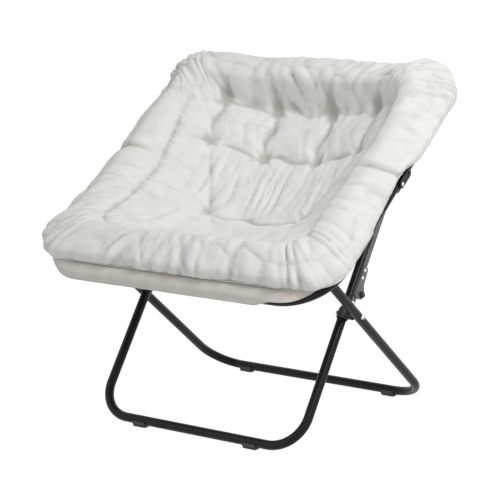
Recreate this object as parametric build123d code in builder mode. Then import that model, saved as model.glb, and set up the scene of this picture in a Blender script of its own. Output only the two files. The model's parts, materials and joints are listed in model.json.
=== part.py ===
"""Folding saucer chair: two crossed U-shaped legs carry a square ring that folds across its middle.

The ring is two bent half hoops, hinged at the sides. A bowl-shaped padded seat hangs in it.
Units are millimetres, +Z is up, the sitter faces -Y, and the floor is Z = 0.
"""
import os
from math import cos, radians, sin, sqrt

from build123d import *

# ---- driving dimensions -------------------------------------------------------------------
TUBE_R = 11.0            # all frame tube is 22 mm outside
TUBE_WALL = 1.2
BAR_Z = 15.0             # height of the floor bars' centre line
PIVOT_Y = -17.2          # the crossing of the legs
PIVOT_Z = 288.0

INNER_W = 555.0          # inner legs, between tube centres; their floor bar is in front
INNER_LEAN = 53.6
INNER_BEND = 80.0
OUTER_W = 630.0          # outer legs; their floor bar is behind
OUTER_LEAN = 37.9
OUTER_BEND = 86.0

INNER_ARM = 300.0        # from the crossing up to the back hoop's pivot
OUTER_ARM = 180.0        # from the crossing up to the front hoop's pivot
TUBE_END = 13.0          # tube left past an upper pivot

RING_TILT = 34.0
RING_W = 774.0           # between tube centres
RING_L = 747.0
RING_HINGE = 396.0       # from the front tube back to the side hinges
FRONT_BEND = 117.0
BACK_BEND = 150.0
FRONT_PIVOT_U = 133.3    # the outer leg's pivot, in the ring's plane and below it
FRONT_PIVOT_N = -58.9

BOLT_R = 4.0
HOLE_R = 4.06            # running fit on a bolt
HINGE_PIN_R = 3.0
HINGE_GAP = 20.0         # each hoop's tube stops this far from the hinge pin
FOOT_L = 36.0
INNER_FOOT_X = 155.0
OUTER_FOOT_X = 213.0

BOWL_DEPTH = 150.0       # the cover's lowest line under the ring's plane
COVER_T = 2.0
SLEEVE_R = 14.0          # cloth sleeves round the hoops
PAD_PROUD = 26.0         # how far the cushion stands out past the hoop's centre line
PAD_SEAT_N = 16.0        # the cushion's rim lies on the hoops at this height
PAD_CLEAR = 5.0          # the belly's middle lies this far over the cover's centre line
BOWL_DROP = 166.0        # from the rim's crest to the middle of the bowl
LIP_T = 8.6              # the plush hangs this thick outside the side tubes
TUFT_R = 42.0            # ball that presses each sewn tuft
TUFT_SINK = 14.0

# ---- frames of reference ------------------------------------------------------------------
lean_in, lean_out, tilt = radians(INNER_LEAN), radians(OUTER_LEAN), radians(RING_TILT)
rise = PIVOT_Z - BAR_Z
inner_bar_y = PIVOT_Y - rise * cos(lean_in) / sin(lean_in)
outer_bar_y = PIVOT_Y + rise * cos(lean_out) / sin(lean_out)
inner_crossing = rise / sin(lean_in)
outer_crossing = rise / sin(lean_out)

inner_plane = Plane((0, inner_bar_y, BAR_Z), x_dir=(1, 0, 0), z_dir=(0, -sin(lean_in), cos(lean_in)))
outer_plane = Plane((0, outer_bar_y, BAR_Z), x_dir=(-1, 0, 0), z_dir=(0, sin(lean_out), cos(lean_out)))

inner_top = Vector(0, PIVOT_Y + INNER_ARM * cos(lean_in), PIVOT_Z + INNER_ARM * sin(lean_in))
outer_top = Vector(0, PIVOT_Y - OUTER_ARM * cos(lean_out), PIVOT_Z + OUTER_ARM * sin(lean_out))
along_ring = Vector(0, cos(tilt), sin(tilt))
off_ring = Vector(0, -sin(tilt), cos(tilt))
ring_origin = outer_top - along_ring * FRONT_PIVOT_U - off_ring * FRONT_PIVOT_N
ring_plane = Plane(ring_origin, x_dir=(1, 0, 0), z_dir=off_ring)

SIDE_X = RING_W / 2
INNER_X = INNER_W / 2
OUTER_X = OUTER_W / 2
os.makedirs("parts", exist_ok=True)


def ring_point(x, u, n=0.0):
    """A point given across the ring, back along it and off its plane."""
    return Vector(x, 0, 0) + ring_origin + along_ring * u + off_ring * n


def ring_coordinates(point):
    """How far back along the ring and off its plane a point lies."""
    gap = point - ring_origin
    return gap.dot(along_ring), gap.dot(off_ring)


def side_plane(x, point):
    """A plane facing outwards at x, whose own X axis runs up the inner leg."""
    return Plane((x, point.Y, point.Z), x_dir=(0, cos(lean_in), sin(lean_in)), z_dir=(1, 0, 0))


def ring_side_plane(x, point):
    """A plane facing outwards at x, whose own X axis runs back along the ring."""
    return Plane((x, point.Y, point.Z), x_dir=along_ring, z_dir=(1, 0, 0))


def save(builder, name):
    builder.part.label = name
    export_step(builder.part, f"parts/{name}.step")


def save_pair(builder, name):
    """The right-hand piece as drawn, and its mirror image on the left."""
    save(builder, f"{name}_right")
    with BuildPart() as other:
        mirror(builder.part, about=Plane.YZ)
    save(other, f"{name}_left")


# ---- bent tubes ---------------------------------------------------------------------------
def sweep_tube(path, wall=TUBE_WALL):
    """Tube along a path, in whichever part is being built."""
    with BuildSketch(Plane(path @ 0, z_dir=path % 0)) as section:
        Circle(TUBE_R)
        Circle(TUBE_R - wall, mode=Mode.SUBTRACT)
    sweep(sections=section.sketch, path=path)


def cross_hole(point, radius, width=2 * (SIDE_X + TUBE_R + 20)):
    """A hole along X through both sides of the part being built."""
    with Locations(Plane((0, point.Y, point.Z), x_dir=(0, 1, 0), z_dir=(1, 0, 0))):
        Cylinder(radius, width, mode=Mode.SUBTRACT)


pivot = Vector(0, PIVOT_Y, PIVOT_Z)
inner_length = inner_crossing + INNER_ARM + TUBE_END
outer_length = outer_crossing + OUTER_ARM + TUBE_END

with BuildPart() as inner_leg_tube:
    with BuildLine(inner_plane) as inner_path:
        FilletPolyline(
            (INNER_X, inner_length), (INNER_X, 0), (-INNER_X, 0), (-INNER_X, inner_length),
            radius=INNER_BEND,
        )
    sweep_tube(inner_path.wire())
    cross_hole(pivot, BOLT_R + 0.02)
    cross_hole(inner_top, BOLT_R + 0.02)
save(inner_leg_tube, "inner_leg_tube")

with BuildPart() as outer_leg_tube:
    with BuildLine(outer_plane) as outer_path:
        FilletPolyline(
            (OUTER_X, outer_length), (OUTER_X, 0), (-OUTER_X, 0), (-OUTER_X, outer_length),
            radius=OUTER_BEND,
        )
    sweep_tube(outer_path.wire())
    cross_hole(pivot, HOLE_R)
    cross_hole(outer_top, BOLT_R + 0.02)
save(outer_leg_tube, "outer_leg_tube")

FRONT_END = RING_HINGE - HINGE_GAP
BACK_END = RING_HINGE + HINGE_GAP
RIVET_U = RING_HINGE + 38
with BuildPart() as front_hoop:
    with BuildLine(ring_plane) as front_path:
        FilletPolyline(
            (SIDE_X, FRONT_END), (SIDE_X, 0), (-SIDE_X, 0), (-SIDE_X, FRONT_END), radius=FRONT_BEND
        )
    sweep_tube(front_path.wire())
save(front_hoop, "front_hoop")

with BuildPart() as back_hoop:
    with BuildLine(ring_plane) as back_path:
        FilletPolyline(
            (SIDE_X, BACK_END), (SIDE_X, RING_L), (-SIDE_X, RING_L), (-SIDE_X, BACK_END), radius=BACK_BEND
        )
    sweep_tube(back_path.wire())
    cross_hole(ring_point(0, RIVET_U), HINGE_PIN_R + 0.02)
save(back_hoop, "back_hoop")


# ---- feet and tube plugs ------------------------------------------------------------------
def make_foot(name, x, bar_y):
    """A saddle under the floor bar: it grips the lower half of the tube and stands on a flat pad."""
    with BuildPart() as foot:
        with BuildSketch(Plane((x - FOOT_L / 2, bar_y, BAR_Z), x_dir=(0, 1, 0), z_dir=(1, 0, 0))):
            Circle(TUBE_R + 3)
            Rectangle(40, 40, align=(Align.CENTER, Align.MIN), mode=Mode.SUBTRACT)
            with Locations((0, -BAR_Z)):
                Rectangle(20, BAR_Z, align=(Align.CENTER, Align.MIN))
            Circle(TUBE_R + 0.02, mode=Mode.SUBTRACT)
        extrude(amount=FOOT_L)
        fillet(foot.edges().filter_by(Axis.Z).group_by(Axis.Z)[0], 3)
    save_pair(foot, name)


make_foot("inner_foot", INNER_FOOT_X, inner_bar_y)
make_foot("outer_foot", OUTER_FOOT_X, outer_bar_y)


def make_plug(name, x, top, up):
    """A domed plastic plug pressed into the tube's upper end."""
    with BuildPart() as plug:
        with BuildSketch(Plane((x, top.Y, top.Z), z_dir=up)):
            Circle(TUBE_R)
        extrude(amount=3)
        chamfer(plug.faces().sort_by(Axis((0, 0, 0), up))[-1].edges(), 1.5)
        with BuildSketch(Plane((x, top.Y, top.Z), z_dir=up)):
            Circle(TUBE_R - TUBE_WALL - 0.02)
        extrude(amount=-6)
    save_pair(plug, name)


inner_up = Vector(0, cos(lean_in), sin(lean_in))
outer_up = Vector(0, -cos(lean_out), sin(lean_out))
make_plug("inner_leg_plug", INNER_X, inner_top + inner_up * TUBE_END, inner_up)
make_plug("outer_leg_plug", OUTER_X, outer_top + outer_up * TUBE_END, outer_up)

# ---- the crossing -------------------------------------------------------------------------
INNER_FACE = INNER_X + TUBE_R
OUTER_FACE = OUTER_X - TUBE_R
COLLAR_R = 14.0
COLLAR_L = 25.0
RUN_GAP = 0.3

with BuildPart() as pivot_collar:
    with BuildSketch(Plane(Vector(INNER_X, PIVOT_Y, PIVOT_Z) - inner_up * (COLLAR_L / 2), z_dir=inner_up)):
        Circle(COLLAR_R)
        Circle(TUBE_R + 0.02, mode=Mode.SUBTRACT)
    extrude(amount=COLLAR_L)
    chamfer(pivot_collar.edges().filter_by(GeomType.CIRCLE).filter_by(lambda e: e.radius > TUBE_R + 1), 1)
    with BuildSketch(side_plane(INNER_FACE + 1, pivot)):
        Circle(COLLAR_R - 3)
    extrude(amount=OUTER_FACE - RUN_GAP - INNER_FACE - 1)
    cross_hole(pivot, BOLT_R + 0.02)
save_pair(pivot_collar, "pivot_collar")


def make_bolt(name, point, head_face, nut_face):
    """A bolt along X with a domed head inside and a cap nut outside, under the two faces given."""
    with BuildPart() as bolt:
        with BuildSketch(side_plane(head_face - 4.5, point)):
            Circle(7)
        extrude(amount=4.5)
        chamfer(bolt.faces().sort_by(Axis.X)[0].edges(), 2)
        with BuildSketch(side_plane(head_face, point)):
            Circle(BOLT_R)
        extrude(amount=nut_face - head_face)
        with BuildSketch(side_plane(nut_face, point)):
            RegularPolygon(6.8, 6)
        extrude(amount=4.5)
        chamfer(bolt.faces().sort_by(Axis.X)[-1].edges(), 1.2)
    save_pair(bolt, name)


BAR_T = 4.0              # flat steel bar along the inner leg
BRACKET_T = 4.0
BRACKET_X = INNER_FACE + BAR_T + 0.5
make_bolt("pivot_bolt", pivot, INNER_X - COLLAR_R, OUTER_X + TUBE_R + RUN_GAP)
make_bolt("back_pivot_bolt", inner_top, INNER_X - TUBE_R, BRACKET_X + BRACKET_T + RUN_GAP)
make_bolt("front_pivot_bolt", outer_top, OUTER_X - TUBE_R, OUTER_X + TUBE_R)

# ---- flat bar and riveted plate on the inner leg --------------------------------------------
BAR_START = 19.0
BAR_W = 17.0
PLATE_T = 3.0
RIVET_R = 2.5
rivet_places = [(31, 0), (95, 0), (115, 0)]
LUG_AT = (61, -19)

with BuildPart() as side_bar:
    with BuildSketch(side_plane(INNER_FACE, pivot)):
        with Locations(((BAR_START + INNER_ARM + BAR_W / 2) / 2, 0)):
            SlotOverall(INNER_ARM + BAR_W / 2 - BAR_START, BAR_W)
        with Locations(*rivet_places):
            Circle(RIVET_R + 0.02, mode=Mode.SUBTRACT)
        with Locations((INNER_ARM, 0)):
            Circle(BOLT_R + 0.02, mode=Mode.SUBTRACT)
    extrude(amount=BAR_T)
save_pair(side_bar, "side_bar")

with BuildPart() as stay_plate:
    with BuildSketch(side_plane(INNER_FACE + BAR_T, pivot)):
        with BuildLine():
            Polyline((46, 8), (46, -12), (52, -28), (70, -28), (84, -16), (124, -12), (124, 8), close=True)
        make_face()
        fillet(vertices(), 5)
        with Locations((95, 0), (115, 0)):
            Circle(RIVET_R + 0.02, mode=Mode.SUBTRACT)
        with Locations(LUG_AT):
            Circle(BOLT_R + 0.02, mode=Mode.SUBTRACT)
    extrude(amount=PLATE_T)
save_pair(stay_plate, "stay_plate")

plate_face = INNER_FACE + BAR_T + PLATE_T
with BuildPart() as bar_rivets:
    for place in rivet_places:
        head_face = plate_face if place[0] > 46 else INNER_FACE + BAR_T
        with BuildSketch(side_plane(INNER_FACE + 0.05, pivot)):
            with Locations(place):
                Circle(RIVET_R)
        extrude(amount=head_face - INNER_FACE - 0.05)
        with BuildSketch(side_plane(head_face, pivot)):
            with Locations(place):
                Circle(RIVET_R + 2)
        extrude(amount=2, taper=30)
save_pair(bar_rivets, "bar_rivets")

with BuildPart() as stay_bolt:
    with BuildSketch(side_plane(INNER_FACE + BAR_T - 4, pivot)):
        with Locations(LUG_AT):
            RegularPolygon(6.8, 6)
    extrude(amount=4)
    with BuildSketch(side_plane(INNER_FACE + BAR_T, pivot)):
        with Locations(LUG_AT):
            Circle(BOLT_R)
    extrude(amount=PLATE_T)
    with BuildSketch(side_plane(INNER_FACE + BAR_T + PLATE_T, pivot)):
        with Locations(LUG_AT):
            Circle(7.5)
    extrude(amount=7)
    chamfer(stay_bolt.faces().sort_by(Axis.X)[-1].edges(), 2.5)
save_pair(stay_bolt, "stay_bolt")

# ---- brackets that hang under the hoops and meet the legs' pivots ---------------------------
STRUT_R = 6.0


def make_bracket(name, pivot_point, plate_x, plate_end, strut_end, hole):
    """A flat plate at the leg's pivot, and a round strut from it out to the hoop's side tube."""
    pivot_u, pivot_n = ring_coordinates(pivot_point)
    end_u, end_n = plate_end
    with BuildPart() as bracket:
        with BuildSketch(ring_side_plane(plate_x, ring_point(0, 0))):
            with BuildLine() as spine:
                Line((pivot_u, pivot_n), (end_u, end_n))
            trace(lines=spine.line, line_width=20)
            with Locations((pivot_u, pivot_n), (end_u, end_n)):
                Circle(10)
            with Locations((pivot_u, pivot_n)):
                Circle(hole, mode=Mode.SUBTRACT)
        extrude(amount=BRACKET_T)
        start = ring_point(plate_x + BRACKET_T / 2, end_u, end_n)
        finish = ring_point(SIDE_X - 2, *strut_end)
        with BuildSketch(Plane(start, z_dir=finish - start)):
            Circle(STRUT_R)
        extrude(amount=(finish - start).length)
        with Locations(Plane(ring_point(SIDE_X, RING_HINGE), z_dir=along_ring)):
            Cylinder(TUBE_R + 0.02, RING_L, mode=Mode.SUBTRACT)
    save_pair(bracket, name)


FRONT_BRACKET_X = OUTER_X + TUBE_R + 5.0
make_bracket("back_bracket", inner_top, BRACKET_X, (477.0, -112.0), (486.0, -4.0), HOLE_R)
make_bracket("front_bracket", outer_top, FRONT_BRACKET_X, (128.0, -42.0), (124.0, -4.0), HOLE_R)

# ---- side hinges of the ring --------------------------------------------------------------
FORK_T = 3.0
FORK_GAP = 0.2           # either side of the tube
hinge_point = ring_point(0, RING_HINGE)
rivet_point = ring_point(0, RIVET_U)

with BuildPart() as hinge_fork:
    for face in (SIDE_X - TUBE_R - FORK_GAP - FORK_T, SIDE_X + TUBE_R + FORK_GAP):
        with BuildSketch(ring_side_plane(face, hinge_point)):
            with Locations(((RIVET_U - RING_HINGE) / 2, 0)):
                SlotCenterToCenter(RIVET_U - RING_HINGE, 20)
            Circle(HINGE_PIN_R + 0.01, mode=Mode.SUBTRACT)
        extrude(amount=FORK_T)
    with BuildSketch(ring_side_plane(SIDE_X - TUBE_R - FORK_GAP - FORK_T - 1.5, rivet_point)):
        Circle(HINGE_PIN_R)
    extrude(amount=2 * (TUBE_R + FORK_GAP + FORK_T + 1.5))
save_pair(hinge_fork, "hinge_fork")

with BuildPart() as hinge_pin:
    with BuildSketch(ring_side_plane(SIDE_X - TUBE_R - FORK_GAP - FORK_T, hinge_point)):
        Circle(HINGE_PIN_R)
    extrude(amount=2 * (TUBE_R + FORK_GAP + FORK_T))
    for side in (-1, 1):
        with BuildSketch(ring_side_plane(SIDE_X + side * (TUBE_R + FORK_GAP + FORK_T), hinge_point)):
            Circle(HINGE_PIN_R + 2)
        extrude(amount=2.5 * side)
    chamfer(hinge_pin.faces().sort_by(Axis.X)[-1].edges() + hinge_pin.faces().sort_by(Axis.X)[0].edges(), 1)
save_pair(hinge_pin, "hinge_pin")

TONGUE_R = 9.5
with BuildPart() as hinge_tongue:
    with BuildSketch(ring_side_plane(SIDE_X - TUBE_R + 0.4, hinge_point)):
        Circle(TONGUE_R)
        with Locations((-HINGE_GAP / 2, 0)):
            Rectangle(HINGE_GAP, 2 * TONGUE_R)
        Circle(HINGE_PIN_R + 0.06, mode=Mode.SUBTRACT)
    extrude(amount=2 * (TUBE_R - 0.4))
    with BuildSketch(Plane(ring_point(SIDE_X, FRONT_END), z_dir=along_ring)):
        Circle(TUBE_R - TUBE_WALL - 0.02)
    extrude(amount=-22)
save_pair(hinge_tongue, "hinge_tongue")


# ---- seat: bowl-shaped cover and cushion -----------------------------------------------------
def section_plane(u):
    """A plane square to the ring's length; its own X runs across and its Y rises off the ring."""
    return Plane(ring_point(0, u), x_dir=(1, 0, 0), z_dir=-along_ring)


def bowl_depth(u):
    """Depth of the cover's centre line under the ring: nothing at the tubes, fullest midway."""
    off_middle = abs(2 * u / RING_L - 1)
    return BOWL_DEPTH * max(0.0, 1 - off_middle ** 2.2) ** 0.8


def corner_width(u, reach, bend):
    """Half-width at u of a rounded rectangle that stands out past the ring by reach."""
    from_end = min(u, RING_L - u) + reach
    radius = bend + reach
    if from_end >= radius:
        return SIDE_X + reach
    return SIDE_X + reach - radius + sqrt(radius ** 2 - (radius - from_end) ** 2)


def cover_section(u, edge, bend):
    """Thin sheet, bowed under the ring; its edges keep this far inside the tubes' centre lines."""
    half = corner_width(u, -edge, bend)
    depth = max(bowl_depth(u), 3.0)
    with BuildSketch(section_plane(u)) as sheet:
        with BuildLine():
            ThreePointArc((-half, 0), (0, -depth), (half, 0))
            Line((half, 0), (half, COVER_T))
            ThreePointArc((half, COVER_T), (0, COVER_T - depth), (-half, COVER_T))
            Line((-half, COVER_T), (-half, 0))
        make_face()
    return sheet.sketch


def sleeve(start, finish):
    """Cloth sleeve round a straight stretch of a hoop, in whichever part is being built."""
    with BuildSketch(Plane(start, z_dir=finish - start)) as section:
        Circle(SLEEVE_R)
        Circle(TUBE_R + 0.3, mode=Mode.SUBTRACT)
    extrude(section.sketch, amount=(finish - start).length)


def make_cover(name, from_end_to_u, fold_u, bend):
    """Half of the sling: a bowed sheet whose edges are sewn into the sleeves on its hoop."""
    rows = [(12.6, 12.6), (26, 12.6), (50, 12.6), (85, 12.6), (135, 12.6), (200, 12.6), (270, 12.6),
            (325, 20)]
    with BuildPart() as cover:
        sections = [cover_section(from_end_to_u(end), edge, bend) for end, edge in rows]
        loft(sections=sections + [cover_section(fold_u, 20, bend)])
    save(cover, name)


def make_sleeves(name, from_end_to_u, end_half):
    """The cloth sleeves of one hoop: a long one on its end and one on each side."""
    with BuildPart() as sleeves:
        sleeve(ring_point(-end_half, from_end_to_u(0)), ring_point(end_half, from_end_to_u(0)))
        for x in (-SIDE_X, SIDE_X):
            sleeve(ring_point(x, from_end_to_u(155)), ring_point(x, from_end_to_u(240)))
    save(sleeves, name)


def from_front(end):
    return end


def from_back(end):
    return RING_L - end


FOLD_GAP = 1.0           # the seat's halves stop this far from the fold
seat_fold = RING_HINGE - FOLD_GAP
back_fold = RING_HINGE + FOLD_GAP
make_cover("seat_cover", from_front, seat_fold, FRONT_BEND)
make_cover("back_cover", from_back, back_fold, BACK_BEND)
make_sleeves("seat_sleeves", from_front, 227.0)
make_sleeves("back_sleeves", from_back, 207.0)


# The cushion's side wall: distance in from its edge and share of the bowl's depth reached there.
SIDE_STEPS = ((125, 0.22), (190, 0.52), (265, 0.82))


def pad_section(u, base, hem, under, rim, depth, bend):
    """Cushion cut across: belly on the cover, lips outside the tubes, a fat rim and a bowl between."""
    half = corner_width(u, PAD_PROUD, bend)
    lip = half - LIP_T
    top_x, top_n = half - 20, rim - min(12.0, (rim - base) / 3)
    (rim_x, rim_n), (wall_x, wall_n), (floor_x, floor_n) = (
        (half * (1 - inset / (SIDE_X + PAD_PROUD)), rim - depth * share) for inset, share in SIDE_STEPS
    )
    with BuildSketch(section_plane(u)) as outline:
        with BuildLine():
            ThreePointArc((-half + 52, base), (0, under), (half - 52, base))
            for side in (1, -1):
                Line((side * (half - 52), base), (side * lip, base))
                Line((side * lip, base), (side * lip, hem))
                ThreePointArc((side * lip, hem), (side * (half - 3), hem - 3), (side * half, hem + 5))
                ThreePointArc((side * half, hem + 5), (side * (half - 3), (hem + 5 + top_n) / 2 + 4),
                              (side * top_x, top_n))
                ThreePointArc((side * top_x, top_n), (side * (half - 68), rim), (side * rim_x, rim_n))
                ThreePointArc((side * rim_x, rim_n), (side * wall_x, wall_n), (side * floor_x, floor_n))
            ThreePointArc((floor_x, floor_n), (0, rim - depth), (-floor_x, floor_n))
        make_face()
    return outline.sketch


# Each row of the cushion: from the ring's end, side base, lip's lower edge, middle of the underside
# (None follows the cover), rim, then the share of the bowl's depth there at the front and at the back.
pad_rows = [
    (-26, 24, 23, 25, 41, 0.02, 0.02),
    (-20, 17, 16, 18, 54, 0.02, 0.02),
    (-6, PAD_SEAT_N, 15, 15.5, 62, 0.02, 0.02),
    (20, PAD_SEAT_N, 15, 6, 67, 0.02, 0.02),
    (45, PAD_SEAT_N, 11, -30, 68, 0.05, 0.09),
    (80, PAD_SEAT_N, 0, None, 68, 0.14, 0.36),
    (120, PAD_SEAT_N, -9, None, 67, 0.33, 0.62),
    (165, PAD_SEAT_N, -12, None, 65, 0.57, 0.77),
    (215, PAD_SEAT_N, -12, None, 63, 0.77, 0.88),
    (265, PAD_SEAT_N, -11, None, 60, 0.89, 0.95),
    (310, PAD_SEAT_N, -9, None, 57, 0.95, 0.985),
]


def make_cushion(name, from_end_to_u, fold_u, bend, share_at, tufts):
    """Half of the bowl-shaped cushion with its sewn tufts; each tuft is given by x, u and n."""
    fold_end = from_end_to_u(fold_u)
    midway = (pad_rows[-1][0] + fold_end) / 2
    rows = pad_rows + [(midway, PAD_SEAT_N, -6, None, 55, 0.99, 0.995),
                       (fold_end, PAD_SEAT_N, -3, None, 54, 1, 1)]
    with BuildPart() as cushion:
        sections = []
        for row in rows:
            end, base, hem, under, rim = row[:5]
            u = from_end_to_u(end)
            if under is None:
                under = PAD_CLEAR - bowl_depth(u)
            sections.append(pad_section(u, base, hem, under, rim, BOWL_DROP * row[share_at], bend))
        loft(sections=sections)
        for x, u, n in tufts:
            for side in (-x, x):
                with Locations(ring_point(side, u, n + TUFT_R - TUFT_SINK)):
                    Sphere(TUFT_R, mode=Mode.SUBTRACT)
    save(cushion, name)


make_cushion("seat_cushion", from_front, seat_fold, FRONT_BEND, 5, [(126, 338, -86)])
make_cushion("back_cushion", from_back, back_fold, BACK_BEND, 6,
             [(77, 657, -16), (210, 645, 18), (77, 536, -78), (205, 534, -22)])
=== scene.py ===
# %% [markdown]
# # Folding saucer chair, dressed
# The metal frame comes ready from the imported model: bent tubes, hinges, bolts and feet. Blender's work
# is the soft seat, the finishes, the light and the camera. The seat is worked out with numpy as
# surfaces on grids, because its gathers and tufts are easier to state as formulas than to sculpt.

# %% Load the frame
import json
import bmesh
import bpy
import numpy as np
from mathutils import Matrix, Vector


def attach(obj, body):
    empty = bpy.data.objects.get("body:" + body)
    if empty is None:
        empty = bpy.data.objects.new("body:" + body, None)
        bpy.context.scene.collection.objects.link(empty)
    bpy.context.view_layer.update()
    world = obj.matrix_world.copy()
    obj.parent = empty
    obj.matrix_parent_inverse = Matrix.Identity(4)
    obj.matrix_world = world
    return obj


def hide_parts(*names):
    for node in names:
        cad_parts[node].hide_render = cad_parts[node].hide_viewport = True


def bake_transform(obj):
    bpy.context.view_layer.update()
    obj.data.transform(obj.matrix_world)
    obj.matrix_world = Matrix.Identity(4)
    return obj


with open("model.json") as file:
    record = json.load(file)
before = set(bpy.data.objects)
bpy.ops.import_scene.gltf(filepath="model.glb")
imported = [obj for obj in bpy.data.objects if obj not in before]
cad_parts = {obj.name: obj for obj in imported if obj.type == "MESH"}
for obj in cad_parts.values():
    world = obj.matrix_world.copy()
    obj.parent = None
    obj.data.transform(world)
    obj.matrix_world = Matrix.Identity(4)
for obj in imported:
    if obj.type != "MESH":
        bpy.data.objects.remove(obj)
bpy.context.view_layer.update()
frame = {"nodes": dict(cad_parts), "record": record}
scene = bpy.context.scene

# %% [markdown]
# ## The ring's own coordinates
# Everything soft hangs in a square ring that leans back. Two joints fix where it is: the side hinge
# lies in the ring's plane. Points are given as x across, u back along the ring from the front tube,
# and n off its plane, all in millimetres.

# %% Ring coordinates to metres
TILT = np.radians(34.0)
RING_L, HINGE_U, SIDE_X = 747.0, 396.0, 387.0
along = np.array([0.0, np.cos(TILT), np.sin(TILT)])
off = np.array([0.0, -np.sin(TILT), np.cos(TILT)])
hinge = np.array(next(j for j in frame["record"]["behaviour"]["joints"] if j["name"] == "ring_fold")["pos_m"])


def place(x, u, n):
    """Metres in the chair's frame: the hinge point, plus x across, u - hinge along and n off the ring."""
    x, u, n = (np.asarray(v, float)[..., None] / 1000 for v in (x, u - HINGE_U, n))
    return hinge + x * np.array([1.0, 0, 0]) + u * along + n * off


print("ring origin", np.round(place(0, 0, 0), 4))

# %% [markdown]
# ## Camera
# The photograph was taken from the front right, a little above the seat, with a long lens. The lens
# and place below come from fitting the leg and ring tubes' ends to the picture.

# %% Camera
camera_data = bpy.data.cameras.new("camera")
camera = bpy.data.objects.new("camera", camera_data)
scene.collection.objects.link(camera)
scene.camera = camera
camera_data.sensor_width = 36.0
camera_data.lens = 117.69
turn, lift = 0.574171, 0.193212  # radians round the chair, and down towards it
right = Vector((np.cos(turn), np.sin(turn), 0))
forward = Vector((-np.sin(turn) * np.cos(lift), np.cos(turn) * np.cos(lift), -np.sin(lift)))
up = right.cross(forward)
spot = Vector((2.0833, -3.2041, 1.1533))
camera.matrix_world = Matrix.Translation(spot) @ Matrix((right, up, -forward)).transposed().to_4x4()
print("camera at", tuple(round(v, 3) for v in spot))

# %% [markdown]
# ## Grid helper
# Each soft surface is a grid of points with faces between neighbours. Rows close on themselves, and a
# closed form ends in one point at each pole.


# %% Surface from a grid
def grid_object(name, points, poles=None):
    """Mesh from points[row, column, xyz]; columns wrap round. Poles, given as (first, last), close the
    end rows, and None leaves that end open; with no poles the rows wrap round too."""
    rows, columns = points.shape[:2]
    index = np.arange(rows * columns).reshape(rows, columns)
    nxt = np.roll(index, -1, axis=1)
    if poles is None:
        index, nxt = np.vstack([index, index[:1]]), np.vstack([nxt, nxt[:1]])
    quads = np.stack([index[:-1], nxt[:-1], nxt[1:], index[1:]], axis=-1).reshape(-1, 4)
    vertices = points.reshape(-1, 3)
    faces = quads.tolist()
    for pole, row in zip(poles or (), (0, -1)):
        if pole is not None:
            tip = len(vertices)
            vertices = np.vstack([vertices, pole])
            faces += [(int(a), int(b), tip) for a, b in zip(index[row], nxt[row])]
    mesh = bpy.data.meshes.new(name)
    mesh.from_pydata(vertices.tolist(), [], faces)
    mesh.polygons.foreach_set("use_smooth", np.ones(len(mesh.polygons), bool))
    obj = bpy.data.objects.new(name, mesh)
    scene.collection.objects.link(obj)
    print(name, "has", len(mesh.vertices), "points")
    return obj


# %% [markdown]
# ## The seat's outline
# From above the padded bowl, before its folds, is a rounded square. It stands up to 15 mm past the ring's
# tubes at the sides and 21 mm at the back, and in front it starts just behind the tube's middle line. The
# same outline, drawn smaller, gives every loop of the cushion, so the grid follows the rim.

# %% Outline
HALF_W, FRONT_U, BACK_U = SIDE_X + 26, 8.0, RING_L + 32
FRONT_R, BACK_R = 105.0, 104.0
CENTRE_U = RING_L / 2
# The line that follows the hoop: how much further forward it starts, and its front and back corners' radii.
HOOP_AHEAD, HOOP_FRONT_R, HOOP_BACK_R = 34, 143, 176
# How much of the way round each straight and each corner takes, from the front's middle.
STRETCHES = np.array([270, 225, 480, 276, 474, 276, 480, 225, 270], float)


def outline(t, inset, under=0.0):
    """Rounded rectangle, inset on all sides: t from 0 to 1 runs from the front's middle to +X and round.
    It follows the plush, or with under = 1 the hoop below, which is longer in front and rounder."""
    t, inset = np.broadcast_arrays(np.asarray(t, float), np.asarray(inset, float))
    ends = np.cumsum(STRETCHES) / STRETCHES.sum()
    part = np.minimum(np.searchsorted(ends, t, side="right"), 8)
    f = (t - np.concatenate([[0], ends])[part]) / (STRETCHES / STRETCHES.sum())[part]
    a, lo, hi = HALF_W - inset, FRONT_U + inset - HOOP_AHEAD * under, BACK_U - inset
    rf, rb = np.maximum(FRONT_R - 0.5 * inset, 50), np.maximum(BACK_R - 0.5 * inset, 60)
    rf, rb = rf + under * (HOOP_FRONT_R - inset - rf), rb + under * (HOOP_BACK_R - inset - rb)
    q = f * np.pi / 2
    x = np.choose(part, [f * (a - rf), a - rf + rf * np.sin(q), a, a - rb + rb * np.cos(q),
                         (1 - 2 * f) * (a - rb), -(a - rb) - rb * np.sin(q), -a,
                         -(a - rf) - rf * np.cos(q), (f - 1) * (a - rf)])
    u = np.choose(part, [lo, lo + rf - rf * np.cos(q), lo + rf + f * (hi - rb - lo - rf),
                         hi - rb + rb * np.sin(q), hi, hi - rb + rb * np.cos(q),
                         hi - rb - f * (hi - rb - lo - rf), lo + rf - rf * np.sin(q), lo])
    return x, u


print("outline's front right corner", [round(float(v), 1) for v in outline(0.13, 0)])

# %% [markdown]
# ## Cushion: the plain form
# The real seat is one plush bag: a fat gathered roll round the edge and a softer bowl inside. The bowl's
# depth is the product of a front-to-back curve and a side-to-side curve. The roll's outer lip comes down
# beside the tubes, and in front it stays above the tube, where a band of cloth shows.

# %% Bowl and edge heights
BOWL_DROP, SLING_DROP = 166.0, 150.0
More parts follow.
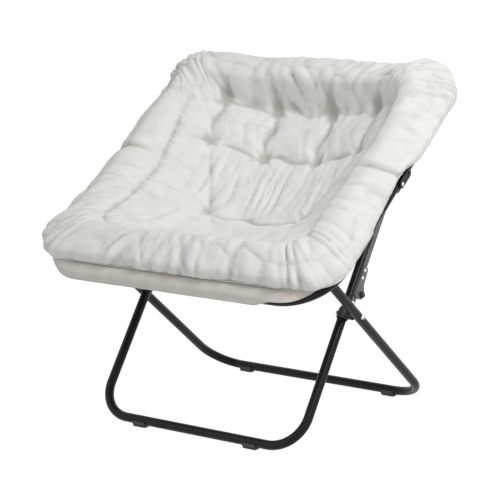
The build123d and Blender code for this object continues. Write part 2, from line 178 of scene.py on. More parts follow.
# Share of the drop against the distance in from the front, the back and the sides, in mm.
FRONT_SHARE = ([60, 71, 106, 146, 191, 241, 291, 336, 379, 421],
               [0, .05, .14, .33, .57, .77, .89, .95, .99, 1])
BACK_SHARE = ([60, 75, 90, 111, 126, 146, 191, 241, 291, 336, 400],
              [0, .08, .26, .49, .60, .69, .79, .88, .95, .985, 1])
SIDE_SHARE = ([60, 95, 125, 190, 265, 340, 413], [0, .06, .22, .52, .82, .96, 1])
BOWL_AHEAD = 26  # the front share counts from this far before the front tube's middle line
# Rise of the back corners, and how much more it is at the right and less at the left.
CORNER_RISE, CORNER_UNEVEN = 31, 9


def bowl_top(x, u):
    """Height off the ring: the rim's height less the drop times a lengthwise and a crosswise share."""
    front, back = u + BOWL_AHEAD, BACK_U - u
    long = np.where(front < back, np.interp(front, *FRONT_SHARE), np.interp(back, *BACK_SHARE))
    side = np.interp(HALF_W - np.abs(x), *SIDE_SHARE)
    return np.interp(u, [45, 165, 396, 600, 700], [68, 65, 55, 63, 68]) - BOWL_DROP * long * side


def hem_n(u):
    """Lowest line of the lip: above the tube in front, near its top on the seat's sides, and a little
    below its middle on the back's sides."""
    return np.interp(u, [8, 30, 60, 110, 180, 300, 396, 440, 470, 500, 640, 700, 740, 773],
                     [25, 17, 10, 8, 8, 8, 13, 13, 2, -5, -5, 0, 12, 20])


def tuck(u):
    """How far the plush is drawn in from the outline at the sides, most at the hinges."""
    return np.interp(u, [110, 190, 270, 396, 450, 500, 640, 700], [0, 5, 10, 15, 10, 5, 5, 0])


def crest_n(x, u):
    """Top of the roll: high at the front, low at the sides, highest at the two back corners."""
    rise = CORNER_RISE + CORNER_UNEVEN * np.sign(x)
    corners = rise * np.exp(-((np.abs(x) - 330) / 80) ** 2) * np.clip((u - 560) / 140, 0, 1)
    return np.interp(u, [83, 180, 400, 600, 700], [72, 64, 55, 58, 62]) + corners


def sling_depth(u):
    """Depth of the cloth sling's middle line under the ring, nothing at the tubes."""
    return SLING_DROP * np.clip(1 - np.abs(2 * u / RING_L - 1) ** 2.2, 0, 1) ** 0.8


print("bowl's middle at n", round(float(bowl_top(0, 380)), 1), "hem at the side", float(hem_n(200)))

# %% [markdown]
# The roll's section changes on the way round: full and round in front, and falling almost straight at the
# sides of the back. A profile swept along the rim would keep one section. So the section is a smooth
# curve through fourteen knots, and each knot moves with the place on the way round.

# %% Edge of the cushion
# The roll's segments between knots, in rows each; the first eight make its top side, down to the lip.
ROLL_STEPS = [8, 8, 9, 11, 9, 7, 6, 4, 4, 3, 3, 4, 4]
TOP_SEGMENTS = 8
UNDER_SEGMENTS = len(ROLL_STEPS) - TOP_SEGMENTS
# Rows on the bowl and on the underside, and columns round.
FLOOR_ROWS, BELLY_ROWS, COLUMNS = 78, 30, 480
CREST_INSET = 75
t = np.arange(COLUMNS) / COLUMNS
# The seam between the roll and the bowl lies this far in from the outline.
seam_inset = np.interp(outline(t, 100)[1], [120, 200, 380, 650], [128, 146, 150, 124])
seam_x, seam_u = outline(t, seam_inset)
seam_n, edge_u = bowl_top(seam_x, seam_u), outline(t, 0)[1]
crest, hem, drawn = crest_n(*outline(t, CREST_INSET)), hem_n(edge_u), tuck(edge_u)
# On the left the plush sits a little further in, on top of the tube.
left = np.clip(-outline(t, 0)[0] / 350, 0, 1) ** 2
left = left * np.clip((edge_u - 70) / 80, 0, 1) * np.clip((750 - edge_u) / 80, 0, 1)
drawn = drawn + left * (9 + 13 * np.clip((edge_u - 430) / 200, 0, 1))
hem = hem + left * np.maximum(12 - hem, 0)
# The roll is widest at height outer, and full is 1 where its outside is round, 0 where it falls straight.
outer = hem + 0.28 * (crest - hem)
full = np.interp(edge_u, [60, 180, 300, 400, 640, 779], [1, 0.9, 0.5, 0.15, 0.1, 0.5]) * (1 - 0.85 * left)


def shoulder(inset, round_n):
    """Outer slope of the roll: between a straight fall from the crest and the height of a full round."""
    straight = outer + (crest - outer) * (inset - drawn) / (CREST_INSET - drawn) + 3
    return straight + full * (round_n - straight)


# Knots of the roll as (inset, n), from the bowl's seam over the crest to the lip, then in under the plush.
even = np.ones(COLUMNS)
ahead = np.clip((60 - edge_u) / 45, 0, 1)  # 1 along the front, where the lip is tucked under
over = np.clip((12 - hem) / 6, 0, 1)
knots = np.array([
    (seam_inset, seam_n),
    (seam_inset - 13, seam_n + 0.45 * (crest - seam_n)),
    (0.48 * seam_inset + 0.52 * CREST_INSET, seam_n + 0.84 * (crest - seam_n)),
    (CREST_INSET * even, crest),
    (40 * even, shoulder(40, crest - 5)),
    (drawn + 9, shoulder(drawn + 9, hem + 0.66 * (crest - hem))),
    (drawn, outer),
    (drawn + 1.5 + 4 * ahead, hem + 3),
    (drawn + 3.5 + 7 * ahead, hem),
    (drawn + 5.5 + 9 * ahead, hem + 1),
    (drawn + 6.5 + 11 * ahead, hem + 3 * over),
    (np.maximum(drawn + 10, 18) + 26 * ahead, 17.5 * even),
    (34 + 15 * ahead, 17.5 * even),
    (50 + 4 * ahead, 16 * even)])
print(len(knots), "knots across the roll, at", COLUMNS, "places round it")

# %% [markdown]
# The rows run from the bowl's middle out to the seam, over the roll, in under the plush and back to the
# middle along the underside, so the cushion is one closed skin that a single grid can hold.


# %% Rows of the cushion
def between(p0, p1, p2, p3, q):
    """Point a share q of the way from p1 to p2 on a smooth curve; p0 and p3 set its slope at the ends."""
    return 0.5 * (2 * p1 + (p2 - p0) * q + (2 * p0 - 5 * p1 + 4 * p2 - p3) * q ** 2
                  + (3 * p1 - p0 - 3 * p2 + p3) * q ** 3)


padded_knots = np.concatenate([2 * knots[:1] - knots[1:2], knots, 2 * knots[-1:] - knots[-2:-1]])
rows = []
for q in np.linspace(0.012, 1, FLOOR_ROWS, endpoint=False):
    x, u = seam_x * q, CENTRE_U + (seam_u - CENTRE_U) * q
    rows.append((x, u, bowl_top(x, u)))
for k, steps in enumerate(ROLL_STEPS):
    for q in np.arange(steps) / steps:
        inset, n = between(*padded_knots[k:k + 4], q)
        under = (k - TOP_SEGMENTS + q) / UNDER_SEGMENTS if k > TOP_SEGMENTS else 0.0
        rows.append((*outline(t, inset, under), n))
BELLY_HALF_W = 375
belly_x, belly_u = outline(t, 50 + 4 * ahead, 1.0)
for q in np.linspace(1, 0.015, BELLY_ROWS):
    x, u = belly_x * q, CENTRE_U + (belly_u - CENTRE_U) * q
    drop = sling_depth(u) * np.clip(1 - (x / BELLY_HALF_W) ** 2, 0, 1)
    rows.append((x, u, np.minimum(16, 6 - drop + 11 * np.clip((q - 0.9) * 10, 0, 1))))
form = np.array(rows).transpose(0, 2, 1)
ROLL_ROWS, TOP_ROWS = sum(ROLL_STEPS), sum(ROLL_STEPS[:TOP_SEGMENTS])
row_number = np.arange(len(rows))
# 0 on the bowl, rising over the roll to 1 near its crest, and back to 0 at the lip.
on_roll = np.sin(np.pi * np.clip((row_number - FLOOR_ROWS) / TOP_ROWS, 0, 1)) ** 0.5
top_side = row_number < FLOOR_ROWS + TOP_ROWS
print("cushion rows", form.shape)

# %% [markdown]
# ## Cushion: tufts, seams and gathers
# Fill pushes the plush out everywhere except where it is sewn. Each tuft is a pit with creases that
# run out from it, and seams join the tufts. Where the roll is sewn to the bowl and to the underside,
# the cloth is gathered, so narrow folds run across the roll.


# %% Detail helpers
def pit(x, u, px, pu, radius):
    """Bell curve of the distance from a tuft."""
    return np.exp(-((x - px) ** 2 + (u - pu) ** 2) / radius ** 2)


def crease(x, u, a, b, width):
    """Valley along the seam between points a and b: a sharp bottom in a soft, wide dip; 1 on the seam."""
    ax, au, bx, bu = *a, *b
    length_2 = (bx - ax) ** 2 + (bu - au) ** 2
    along_seam = np.clip(((x - ax) * (bx - ax) + (u - au) * (bu - au)) / length_2, 0, 1)
    away = np.hypot(x - ax - along_seam * (bx - ax), u - au - along_seam * (bu - au)) / width
    return 0.6 * np.exp(-away) + 0.4 * np.exp(-(away / 4) ** 2)


def drift(v, seed, low=1, high=7):
    """Slow wander: a seeded sum of sines, one cycle of v being the whole round, between about -1 and 1."""
    rng = np.random.default_rng(seed)
    total = np.zeros_like(np.asarray(v, float))
    for k in range(low, high + 1):
        total = total + rng.uniform(0.5, 1) * np.sin(2 * np.pi * (k * v + rng.random()))
    return total / (0.6 * (high - low + 1)) ** 0.5 / 1.6


def folds(phase):
    """Round ridges with narrow valleys between them, one for each whole turn of phase: 0 to 1."""
    return np.abs(np.sin(np.pi * phase)) ** 0.6


def pillows(a, b, wide, tall, seed):
    """Pillows with creases between them, 0 to 1. Seeded points are scattered in the plane (a, b), about one
    in each wide by tall cell, and the height is how much nearer the nearest one is than the next."""
    rng = np.random.default_rng(seed)
    nearest, second = np.full(a.shape, 9.0), np.full(a.shape, 9.0)
    for ca in np.arange(a.min() - wide, a.max() + wide, wide):
        for cb in np.arange(b.min() - tall, b.max() + tall, tall):
            pa, pb = ca + wide * rng.uniform(0.05, 0.95), cb + tall * rng.uniform(0.05, 0.95)
            away = np.hypot((a - pa) / wide, (b - pb) / tall)
            nearest, second = np.minimum(nearest, away), np.minimum(second, np.maximum(nearest, away))
    return np.clip((second - nearest) / 0.7, 0, 1) ** 0.6


# The tufts are sewn in three rows across the bowl: the top of the back, its middle, and just before the
# fold. Each seam is (from tuft, to tuft, depth), all in millimetres.
TUFTS = [(-213, 644), (-77, 650), (77, 650), (213, 644), (-204, 532), (-72, 536), (72, 536), (204, 532),
         (-126, 340), (126, 340)]
SEAMS = [(0, 1, 14), (1, 2, 14), (2, 3, 14), (4, 5, 14), (5, 6, 18), (6, 7, 14), (0, 4, 18), (1, 5, 19),
         (2, 6, 19), (3, 7, 18), (4, 8, 14), (8, 9, 24), (9, 7, 14)]
# A tuft's pit, the creases that run out from it, a seam's width, and the depth where dents level off.
PIT_DEPTH, PIT_R, STAR_DEPTH, SEAM_W, DEEPEST = 27, 21, 8, 7, 30
print(len(TUFTS), "tufts and", len(SEAMS), "seams between them")

# %% Depth of the folds
x, u, n = form[..., 0], form[..., 1], form[..., 2]
bulge = np.zeros_like(x)
inner = (row_number < FLOOR_ROWS)[:, None].astype(float)
top = top_side[:, None].astype(float)
turn_t = np.broadcast_to(t, x.shape)
wander_x = x + 9 * drift(u / 700, 61, 2, 8)
wander_u = u + 9 * drift(x / 700, 62, 2, 8)
sewn = np.zeros_like(x)
for k, (px, pu) in enumerate(TUFTS):
    reach = np.hypot(x - px, u - pu)
    star = folds(np.arctan2(u - pu, x - px) / (2 * np.pi) * (5 + k % 3) + 0.37 * k)
    sewn = np.maximum(sewn, PIT_DEPTH * pit(x, u, px, pu, PIT_R))
    bulge -= top * STAR_DEPTH * (1 - star) * np.exp(-reach / 45) * np.clip(reach / 20, 0, 1)
for a, b, depth in SEAMS:
    sewn = np.maximum(sewn, depth * crease(wander_x, wander_u, TUFTS[a], TUFTS[b], SEAM_W))
bulge -= top * sewn
# Long gathers between the middle row of tufts and the lowest one; finer ones take turns with them.
lower = np.clip((u - 346) / 40, 0, 1) * np.clip((536 - u) / 60, 0, 1) * np.clip((225 - np.abs(x)) / 50, 0, 1)
strand = x / 37 + 0.55 * drift(u / 900, 3, 1, 4) + 1.0 * drift(x / 900, 5, 1, 7)
finer = x / 24 + 0.5 * drift(u / 900 + 0.3, 8, 1, 4) + 0.8 * drift(x / 900, 9, 1, 6)
bent_u = u / 500 + 0.2 * drift(x / 600, 12, 1, 5)
where = np.clip(0.5 + 0.6 * drift(x / 500, 10, 1, 8) + 0.6 * drift(bent_u, 11, 1, 6), 0, 1)
bulge += inner * lower * (8.0 * (folds(strand) - 0.6) * where + 4.0 * (folds(finer) - 0.6) * (1 - where))
# Soft ripples on the panel above, and wide ones over the seat.
panel = np.clip((u - 536) / 20, 0, 1) * np.clip((655 - u) / 20, 0, 1) * np.clip((215 - np.abs(x)) / 40, 0, 1)
ripples = x / 46 + 1.4 * drift(u / 700, 13, 1, 6) + 0.8 * drift(x / 900, 14)
bulge += inner * panel * 3.0 * (folds(ripples) - 0.6)
seat = np.clip((330 - u) / 40, 0, 1) * inner
bulge += seat * 3.2 * (folds(u / 120 + 0.9 * drift(x / 800, 15, 1, 6) + 0.4 * drift(u / 600, 16)) - 0.6)
print("bowl folds", round(float(bulge.min()), 1), "to", round(float(bulge.max()), 1), "mm")

# %% [markdown]
# The largest folds on the roll are pillows: seeded points scattered over it, each with a rounded top and
# a crease where the next begins. Two sets of narrow folds that follow t, the way round, lie over them.
# All are deepest at the front and the back and fade on the sides. A notch marks where the ring folds.
# The pillows don't meet exactly at t = 0, in the middle of the front, so the plush steps there by up to
# 5 mm, which reads as one more crease.

# %% Gathers on the roll
ROUND_MM = 2580  # the way round as the pillows count it, between the crest's and the outer line's
# How far across the roll a row lies, and the same with a bend that grows outwards.
slant = np.clip((row_number - FLOOR_ROWS) / ROLL_ROWS, -0.3, 1)[:, None] * np.ones_like(x)
sway = slant + 0.5 * slant ** 2 * drift(turn_t, 20, 5, 20)
puffs = folds(44 * turn_t + 1.9 * drift(turn_t, 21, 3, 20) + 3.0 * sway * drift(turn_t, 22, 3, 16)) - 0.6
smaller = folds(83 * turn_t + 2.4 * drift(turn_t, 24, 4, 22) - 3.4 * sway * drift(turn_t, 25, 5, 20)) - 0.6
patches = np.clip(0.6 + 0.5 * drift(turn_t + 0.03 * slant, 23, 5, 22), 0.1, 1.1)
gathered = np.clip(1.2 - 1.1 * np.exp(-((u - 420) / 235.0) ** 2), 0.16, 1)
near_edge = 0.45 + 0.55 * np.clip(np.abs(slant - 0.42) / 0.3, 0, 1)
onto_bowl = 0.8 * np.clip((row_number - FLOOR_ROWS + 12) / 12, 0, 1) * (row_number < FLOOR_ROWS + 20)
spread = np.maximum(on_roll, onto_bowl)[:, None]
# Pillows of cloth lie across the roll, at a slant; round_mm is the way round and over_mm the way across.
round_mm = ROUND_MM * turn_t + 16 * drift(turn_t, 33, 5, 26)
row_gaps = np.linalg.norm(np.diff(form[:, 0], axis=0, prepend=form[:1, 0]), axis=1)
over_mm = np.cumsum(row_gaps)[:, None] * np.ones_like(x)
lumps = pillows(round_mm + 0.35 * over_mm * drift(turn_t, 34, 2, 9),
                over_mm + 22 * drift(turn_t, 35, 8, 30), wide=62, tall=105, seed=36) - 0.55
fine_folds = 3.2 * smaller * near_edge * (1.15 - patches)
bulge += spread * gathered * (8.5 * lumps + 6.5 * puffs * patches + fine_folds)
# The seam between the roll and the bowl, shallow at the top of the back.
seam_ring = np.exp(-(np.abs(row_number - FLOOR_ROWS) / 3.2))[:, None]
bulge -= seam_ring * (9 + 5 * puffs) * np.interp(u, [100, 200, 540, 650], [1, 0.85, 0.85, 0.3])
# The notch where the ring folds, then slow swells and a small crumple over the whole top side.
notch = np.exp(-np.abs((u - HINGE_U - 4 * np.sin(n / 16)) / 9.0))
notch = notch * np.clip((np.abs(x) - 270) / 60, 0, 1) * top
bulge -= notch * 13
bulge += on_roll[:, None] * 3.5 * drift(turn_t, 31, 4, 24)
bulge += top * 2.6 * drift(x / 700 + 0.3 * drift(u / 800, 41), 42, 2, 9) * drift(u / 700, 43, 2, 9)
crumple_x, crumple_u = x / 700 + 0.1 * drift(u / 500, 44, 3, 9), u / 700 + 0.1 * drift(x / 500, 46, 3, 9)
bulge += top * 0.9 * drift(crumple_x, 45, 12, 30) * drift(crumple_u, 47, 12, 30)
bulge = np.where(bulge < 0, DEEPEST * np.tanh(bulge / DEEPEST), bulge)
print("all folds", round(float(bulge.min()), 1), "to", round(float(bulge.max()), 1), "mm")

# %% Push the form out along its own slope
points = place(x, u, n)
across = np.roll(points, -1, axis=1) - np.roll(points, 1, axis=1)
down = np.gradient(points, axis=0)
slope = np.cross(across, down)
slope /= np.linalg.norm(slope, axis=2, keepdims=True) + 1e-12
if slope[0, :, 2].mean() < 0:
    slope = -slope
# The columns crowd near the bowl's middle, so one direction serves all of the first rows.
POLE_ROWS = 8
slope[:POLE_ROWS] = slope[POLE_ROWS].mean(axis=0)
shift = np.where(top_side[:, None], bulge, np.clip(bulge, -1.5, 0.3))[..., None] / 1000
points = points + slope * shift
cushion = grid_object("plush_seat", points, (points[0].mean(axis=0), points[-1].mean(axis=0)))


def blurred(field, reach):
    """Box blur of a grid, twice: columns wrap and rows repeat at their ends."""
    for _ in range(2):
        field = sum(np.roll(field, k, axis=1) for k in range(-reach, reach + 1)) / (2 * reach + 1)
        ends = np.pad(field, ((reach, reach), (0, 0)), mode="edge")
        field = sum(ends[k:k + len(field)] for k in range(2 * reach + 1)) / (2 * reach + 1)
    return field


# How deep each point lies under the cloth round it, from 0 to 1: painted shade, which darkens the plush's
# colour inside the folds.
painted_fold_shade = np.clip((blurred(bulge, 4) - bulge) / 6.0, 0, 1) * top
depth = cushion.data.attributes.new("painted_fold_shade", "FLOAT", "POINT")
depth.data.foreach_set("value", np.append(painted_fold_shade.ravel(), [0, 0]).astype(np.float32))
print("points in folds", int((painted_fold_shade > 0.3).sum()))

# %% [markdown]
# ## Sling and sleeves
# Under the plush a plain cloth bag hangs in the ring. It starts at the plush edge, passes inside the
# tubes and bows down below the seat. Sleeves sewn to it hold the tubes at the front, back and sides.

# %% Sling
# The edge's rows as (inset, inset in front, n, n in front). In front they make the band that shows, from
# its foot up to the plush and in under it. Past BARE_X, at the right, its foot rises off the bare tube.
BARE_X, SLING_INSET, SLING_HALF_W = 222, 40, 374
SLING_EDGE = [(23, 11.5, 15.6, -8.0), (24, 10.6, 15.6, 2.0), (25, 12.4, 15.6, 11.0),
              (26, 18, 15.6, 18.0), (28, 28, 15.6, 23.5), (31, 37, 14.8, 24.5),
              (34, 43, 13.0, 18.0), (37, 42, 8.0, 9.0), (SLING_INSET, SLING_INSET, 1.0, 1.0)]
sling_rows = []
for k, (inset, front_inset, height, front_n) in enumerate(SLING_EDGE):
    crumple = 1.8 * drift(t + 0.005 * k, 53, 9, 40) * drift(t - 0.004 * k, 54, 3, 14)
    crumple = crumple * ahead * np.sin(np.pi * min(k, 6) / 6)
    sx, su = outline(t, inset + (front_inset - inset) * ahead + crumple, 1.0)
    front_n = front_n + np.clip((sx - BARE_X) / 45, 0, 1) * max(0.0, 11.0 - front_n) * 0.95
    sling_rows.append((sx, su, height + (front_n - height) * ahead + 0.4 * drift(turn_t[0], 51, 8, 30)))
for q in np.linspace(0.985, 0.02, 46):
    sx, su = outline(t, SLING_INSET, 1.0)
    sx, su = sx * q, CENTRE_U + (su - CENTRE_U) * q
    hang = sling_depth(su) * np.clip(1 - (sx / SLING_HALF_W) ** 2, 0, 1)
    ripple = 1.6 * drift(turn_t[0], 52, 6, 26) * np.clip((1 - q) * 9, 0, 1) * q
    sling_rows.append((sx, su, np.minimum(0.5, 1 - hang) + ripple))
sling_points = place(*np.array(sling_rows).transpose(1, 0, 2))
sling = grid_object("cloth_sling", sling_points, (None, sling_points[-1].mean(axis=0)))

# %% [markdown]
# A sleeve is a cloth tube with its own inner face, a little loose, so its outside has shallow rings of
# wrinkles that wander along it.


# %% Sleeves
SLEEVE_OUT, SLEEVE_END, SLEEVE_IN = 13.1, 12.6, 11.5  # radii before the wrinkles, at the ends and inside


def sleeve_tube(name, start, finish, body, seed):
    """Tube from start to finish, given as (x, u), with wrinkles on its outside between the ends."""
    a, b = place(*start, 0.0), place(*finish, 0.0)
    length = np.linalg.norm(b - a)
    axis = (b - a) / length
    side = np.cross(axis, off)
    s = np.linspace(0, 1, max(24, int(length / 0.004)))
    angle = np.linspace(0, 2 * np.pi, 48, endpoint=False)
    S, A = np.meshgrid(s, angle, indexing="ij")
    wrinkle = 0.45 * drift(S + 0.2 * drift(A / 6.28, seed, 1, 3), seed + 1, 8, 26) + 0.25
    radius = np.where((S < 0.004) | (S > 0.996), SLEEVE_END, SLEEVE_OUT + wrinkle)
    radius = np.vstack([radius, np.full_like(radius, SLEEVE_IN)]) / 1000
    S, A = np.vstack([S, S[::-1]]), np.vstack([A, A])
    ring = np.cos(A)[..., None] * off + np.sin(A)[..., None] * side
    obj = grid_object(name, a + axis * (S * length)[..., None] + radius[..., None] * ring)
    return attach(obj, body)


sleeves = [
    sleeve_tube("front_sleeve", (-227, 0), (227, 0), "seat_frame", 61),
    sleeve_tube("seat_side_sleeve_right", (SIDE_X, 155), (SIDE_X, 240), "seat_frame", 63),
    sleeve_tube("seat_side_sleeve_left", (-SIDE_X, 155), (-SIDE_X, 240), "seat_frame", 65),
    sleeve_tube("back_sleeve", (-207, RING_L), (207, RING_L), "back_frame", 67),
    sleeve_tube("back_side_sleeve_right", (SIDE_X, 592), (SIDE_X, 507), "back_frame", 69),
    sleeve_tube("back_side_sleeve_left", (-SIDE_X, 592), (-SIDE_X, 507), "back_frame", 71),
]
print(len(sleeves), "sleeves")

# %% [markdown]
# ## Faces and thickness
# The seat bends where the ring folds. The plush, the sling and the sleeves get faces that point outwards,
# the sling a cloth thickness, and the frame's own seat parts are hidden.

# %% Outward faces and what each piece replaces
for obj in [cushion, sling, *sleeves]:
    shell = bmesh.new()
    shell.from_mesh(obj.data)
    bmesh.ops.recalc_face_normals(shell, faces=shell.faces)
    shell.to_mesh(obj.data)
    shell.free()
thick = sling.modifiers.new("cloth thickness", "SOLIDIFY")
thick.thickness, thick.offset = 0.0014, -1.0
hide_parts("seat_cushion", "back_cushion")
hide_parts("seat_cover", "back_cover")
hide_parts("seat_sleeves")
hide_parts("back_sleeves")
for obj, reach in ((cushion, 60), (sling, 45)):
    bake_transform(obj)
print("sling area", round(sum(face.area for face in sling.data.polygons), 3), "m2")

# %% [markdown]
# ## Finishes
# Each finish is a small node tree on Object coordinates. Colour and bump vary at the real scale of the
# stuff: pile about a millimetre, powder coat finer than that. Constants stay on the shader itself.


# %% Node helpers
def new_finish(name, colour, roughness, metallic=0.0):
    """A material with its Principled shader ready; returns the material, its nodes, links and shader."""
    material = bpy.data.materials.new(name)
    material.use_nodes = True
    nodes, links = material.node_tree.nodes, material.node_tree.links
    shader = nodes["Principled BSDF"]
    shader.inputs["Base Color"].default_value = (*colour, 1)
    shader.inputs["Roughness"].default_value = roughness
    shader.inputs["Metallic"].default_value = metallic
    return material, nodes, links, shader


def noise(nodes, links, scale, detail=3.0):
    """Noise on Object coordinates: scale is cells a metre."""
    where = nodes.new("ShaderNodeTexCoord")
    field = nodes.new("ShaderNodeTexNoise")
    field.inputs["Scale"].default_value = scale
    field.inputs["Detail"].default_value = detail
    links.new(where.outputs["Object"], field.inputs["Vector"])
    return field.outputs["Fac"]


def ramp(nodes, links, factor, stops):
    """Colour ramp: stops are (position, colour)."""
    node = nodes.new("ShaderNodeValToRGB")
    while len(node.color_ramp.elements) < len(stops):
        node.color_ramp.elements.new(0.5)
    for element, (position, colour) in zip(node.color_ramp.elements, stops):
        element.position, element.color = position, (*colour, 1)
    links.new(factor, node.inputs["Fac"])
    return node.outputs["Color"]


def vary(nodes, links, socket, scale, stops, detail=3.0):
    """Lets noise, through a colour ramp, drive one of the shader's inputs."""
    links.new(ramp(nodes, links, noise(nodes, links, scale, detail), stops), socket)


def bump(nodes, links, height, distance, strength=1.0, under=None):
    """Bump node over another one, distance in metres."""
    node = nodes.new("ShaderNodeBump")
    node.inputs["Strength"].default_value = strength
    node.inputs["Distance"].default_value = distance
    links.new(height, node.inputs["Height"])
    if under is not None:
        links.new(under, node.inputs["Normal"])
    return node.outputs["Normal"]


print("node helpers ready")

# %% Plush and cloth
plush, nodes, links, shader = new_finish("white short-pile plush", (0.86, 0.86, 0.84), 1.0)
patch = noise(nodes, links, 22.0, 4.0)
pale_plush = ramp(nodes, links, patch, [(0.3, (0.81, 0.81, 0.785)), (0.7, (0.885, 0.885, 0.87))])
# Painted shade: the plush's colour is mixed towards a dark grey-green by the fold depth attribute, so the
# folds look shadowed.
fold = nodes.new("ShaderNodeAttribute")
fold.attribute_name = "painted_fold_shade"
painted_shade_mix = nodes.new("ShaderNodeMix")
painted_shade_mix.data_type = "RGBA"
painted_shade_mix.inputs["B"].default_value = (0.55, 0.55, 0.51, 1)
links.new(pale_plush, painted_shade_mix.inputs["A"])
links.new(fold.outputs["Fac"], painted_shade_mix.inputs["Factor"])
links.new(painted_shade_mix.outputs["Result"], shader.inputs["Base Color"])
tufty = bump(nodes, links, noise(nodes, links, 160.0, 3.0), 0.0022, 0.5)
pile = bump(nodes, links, noise(nodes, links, 900.0, 2.0), 0.0008, 0.55, tufty)
links.new(pile, shader.inputs["Normal"])
shader.inputs["Sheen Weight"].default_value = 0.35
shader.inputs["Sheen Roughness"].default_value = 0.6
shader.inputs["Specular IOR Level"].default_value = 0.1

cloth, nodes, links, shader = new_finish("cream woven cloth", (0.74, 0.71, 0.66), 0.9)
vary(nodes, links, shader.inputs["Base Color"], 30.0,
     [(0.3, (0.70, 0.67, 0.62)), (0.7, (0.79, 0.765, 0.72))])
threads = bump(nodes, links, noise(nodes, links, 1400.0, 1.0), 0.0004, 0.5)
links.new(bump(nodes, links, noise(nodes, links, 45.0, 2.0), 0.004, 0.25, threads), shader.inputs["Normal"])
shader.inputs["Specular IOR Level"].default_value = 0.15
print("plush and cloth made")

# %% Metals and plastics
coat, nodes, links, shader = new_finish("black powder coat", (0.006, 0.006, 0.0065), 0.36)
vary(nodes, links, shader.inputs["Roughness"], 9.0, [(0.35, (0.30,) * 3), (0.7, (0.42,) * 3)])
links.new(bump(nodes, links, noise(nodes, links, 1800.0, 1.0), 0.0002, 0.35), shader.inputs["Normal"])
shader.inputs["Specular IOR Level"].default_value = 0.13
shader.inputs["Coat Weight"].default_value = 0.15
shader.inputs["Coat Roughness"].default_value = 0.12

bar_grey, nodes, links, shader = new_finish("grey coated bar", (0.13, 0.13, 0.135), 0.42, 0.6)
vary(nodes, links, shader.inputs["Base Color"], 60.0,
     [(0.3, (0.10, 0.10, 0.105)), (0.7, (0.17, 0.17, 0.175))], detail=4.0)
links.new(bump(nodes, links, noise(nodes, links, 1500.0, 1.0), 0.0002, 0.3), shader.inputs["Normal"])

zinc, nodes, links, shader = new_finish("bright zinc", (0.72, 0.72, 0.73), 0.28, 1.0)
vary(nodes, links, shader.inputs["Roughness"], 220.0, [(0.3, (0.22,) * 3), (0.75, (0.42,) * 3)], detail=5.0)

black_plastic, nodes, links, shader = new_finish("black moulded plastic", (0.02, 0.02, 0.021), 0.5)
vary(nodes, links, shader.inputs["Roughness"], 40.0, [(0.3, (0.45,) * 3), (0.7, (0.6,) * 3)])
links.new(bump(nodes, links, noise(nodes, links, 1100.0, 1.0), 0.00025, 0.4), shader.inputs["Normal"])

finishes = {"frame_paint": coat, "bar_steel": bar_grey, "bright_steel": zinc, "black_plastic": black_plastic,
            "dark_cap": black_plastic, "foot_plastic": black_plastic, "plush": plush, "cover_cloth": cloth}
for part in frame["record"]["subparts"]:
    node = frame["nodes"][part["node"]]
    for k in range(len(node.material_slots)):
        node.material_slots[k].material = finishes[part["material_slot"]]
soft_pieces = [(cushion, plush, "plush"), (sling, cloth, "cover_cloth")]
soft_pieces += [(sleeve, cloth, "cover_cloth") for sleeve in sleeves]
for obj, finish, slot in soft_pieces:
    obj.data.materials.append(finish)

# %% [markdown]
# ## Floor, world and light
# The picture has a white ground and soft light from above and the right. The floor and the world look
# white to the camera and in reflections, while the light on the chair comes from a dimmer world and
# three broad lamps.

# %% Floor and world
# Strength of the world's light, and the share and strength of the floor's glow where it is seen directly.
ROOM_LIGHT, GLOW_SHARE, FLOOR_GLOW = 0.405, 0.82, 1.2
floor_mesh = bpy.data.meshes.new("floor")
floor_mesh.from_pydata([(-12, -12, 0), (12, -12, 0), (12, 12, 0), (-12, 12, 0)], [], [(0, 1, 2, 3)])
floor = bpy.data.objects.new("floor", floor_mesh)
scene.collection.objects.link(floor)


def seen_directly(nodes, links):
    """1 for camera, glossy and transmission rays, otherwise 0."""
    path = nodes.new("ShaderNodeLightPath")
    first = nodes.new("ShaderNodeMath")
    first.operation = "MAXIMUM"
    both = nodes.new("ShaderNodeMath")
    both.operation = "MAXIMUM"
    links.new(path.outputs["Is Camera Ray"], first.inputs[0])
    links.new(path.outputs["Is Glossy Ray"], first.inputs[1])
    links.new(first.outputs[0], both.inputs[0])
    links.new(path.outputs["Is Transmission Ray"], both.inputs[1])
    return both.outputs[0]


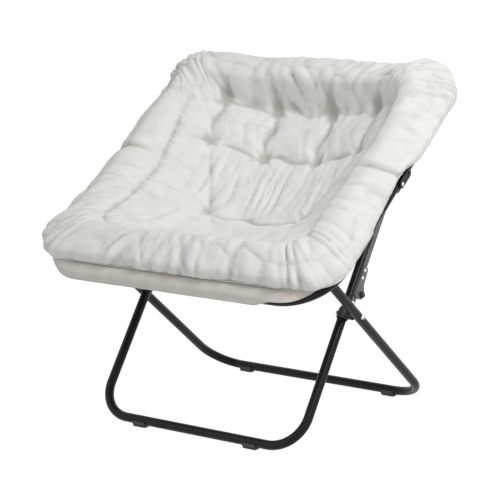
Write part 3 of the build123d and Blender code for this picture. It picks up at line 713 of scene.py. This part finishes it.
pale = bpy.data.materials.new("pale floor")
pale.use_nodes = True
nodes, links = pale.node_tree.nodes, pale.node_tree.links
nodes.remove(nodes["Principled BSDF"])
ground, glow, shown, mix = (nodes.new(kind) for kind in ("ShaderNodeBsdfDiffuse", "ShaderNodeEmission",
                                                         "ShaderNodeMixShader", "ShaderNodeMixShader"))
ground.inputs["Color"].default_value = (0.8, 0.8, 0.8, 1)
shown.inputs["Fac"].default_value = GLOW_SHARE
links.new(ground.outputs[0], shown.inputs[1])
links.new(glow.outputs[0], shown.inputs[2])
glow.inputs["Strength"].default_value = FLOOR_GLOW
links.new(seen_directly(nodes, links), mix.inputs["Fac"])
links.new(ground.outputs[0], mix.inputs[1])
links.new(shown.outputs[0], mix.inputs[2])
links.new(mix.outputs[0], nodes["Material Output"].inputs["Surface"])
floor_mesh.materials.append(pale)

world = bpy.data.worlds.new("studio")
scene.world = world
world.use_nodes = True
nodes, links = world.node_tree.nodes, world.node_tree.links
room = nodes["Background"]
white = nodes.new("ShaderNodeBackground")
mix = nodes.new("ShaderNodeMixShader")
room.inputs["Color"].default_value = (1, 1, 1, 1)
room.inputs["Strength"].default_value = ROOM_LIGHT
white.inputs["Color"].default_value = (1, 1, 1, 1)
links.new(seen_directly(nodes, links), mix.inputs["Fac"])
links.new(room.outputs[0], mix.inputs[1])
links.new(white.outputs[0], mix.inputs[2])
links.new(mix.outputs[0], nodes["World Output"].inputs["Surface"])
print("floor and world ready, room light", ROOM_LIGHT)


# %% Lamps
def lamp(name, spot, size, power, aim=(0, 0, 0.45)):
    """Square area lamp that faces the seat; its side in metres and its power in watts."""
    data = bpy.data.lights.new(name, "AREA")
    data.shape, data.size, data.energy = "SQUARE", size, power
    obj = bpy.data.objects.new(name, data)
    obj.location = spot
    obj.rotation_euler = (Vector(aim) - Vector(spot)).to_track_quat("-Z", "Y").to_euler()
    scene.collection.objects.link(obj)


lamp("key", (2.15, -0.75, 2.7), 1.0, 52)
lamp("fill", (-1.6, -3.0, 1.6), 2.0, 8)
lamp("rim", (-0.6, 2.4, 2.4), 1.4, 5)
scene.view_settings.view_transform = "Standard"
